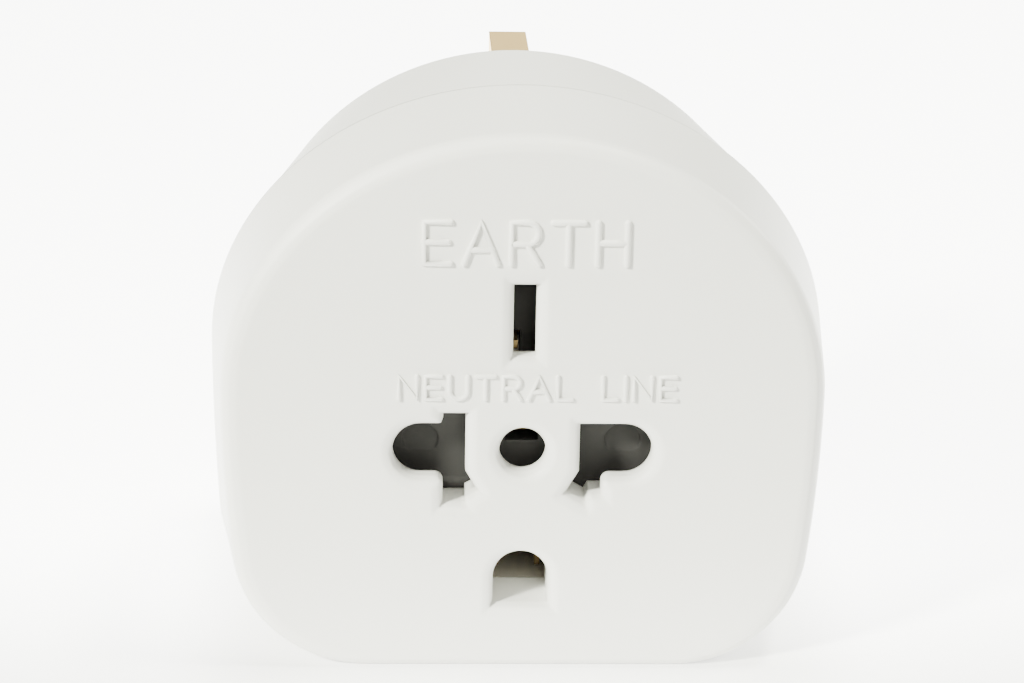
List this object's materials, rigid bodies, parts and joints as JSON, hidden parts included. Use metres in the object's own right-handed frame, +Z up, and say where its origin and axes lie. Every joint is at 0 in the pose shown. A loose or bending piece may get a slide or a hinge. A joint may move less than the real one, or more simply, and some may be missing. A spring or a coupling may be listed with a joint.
{
  "type": "plug adapter",
  "caption": "White travel plug adapter: a multi-standard shuttered socket in an arched front, a fused plug with flat pins behind.",
  "frame": {"origin": "on the plug face, midway between the line and neutral pins", "axes": "+X to the right seen from the socket, +Y from the socket face to the plug, +Z up"},
  "size_m": [0.0598, 0.0606, 0.0524],
  "materials": {
    "white_plastic": "satin gloss",
    "grey_plastic": "matt",
    "carrier_plastic": "matt",
    "black_plastic": "matt",
    "spring_steel": "bright",
    "contact_brass": "stamped sheet",
    "pin_brass": "drawn bar",
    "fuse_ceramic": "unglazed",
    "cap_metal": "plated"
  },
  "bodies": {
    "housing": {"front_cover": "white_plastic", "rear_cover": "white_plastic", "shutter_spring_left": "spring_steel", "shutter_spring_right": "spring_steel", "contact_carrier": "carrier_plastic", "insulating_plate": "black_plastic", "neutral_contact": "contact_brass", "line_contact": "contact_brass", "earth_contact": "contact_brass", "neutral_pin": "pin_brass", "line_pin": "pin_brass", "earth_pin": "pin_brass", "neutral_pin_sleeve": "black_plastic", "line_pin_sleeve": "black_plastic", "line_fuse_clip": "contact_brass", "load_fuse_clip": "contact_brass", "cover_screw_left": "spring_steel", "cover_screw_right": "spring_steel"},
    "shutter": {"shutter": "grey_plastic"},
    "fuse_drawer": {"fuse_carrier": "white_plastic", "fuse_tube": "fuse_ceramic", "fuse_cap_left": "cap_metal", "fuse_cap_right": "cap_metal"}
  },
  "joints": [
    {"name": "shutter_slide", "type": "slide", "parent": "housing", "child": "shutter", "axis": [0, 0, 1], "range_m": [0, 0.009], "stiffness_N_per_m": 60, "springref_m": -0.006, "deforming": ["shutter_spring_left", "shutter_spring_right"]},
    {"name": "fuse_carrier_slide", "type": "slide", "parent": "housing", "child": "fuse_drawer", "axis": [0, 1, 0], "range_m": [0, 0.013]}
  ]
}
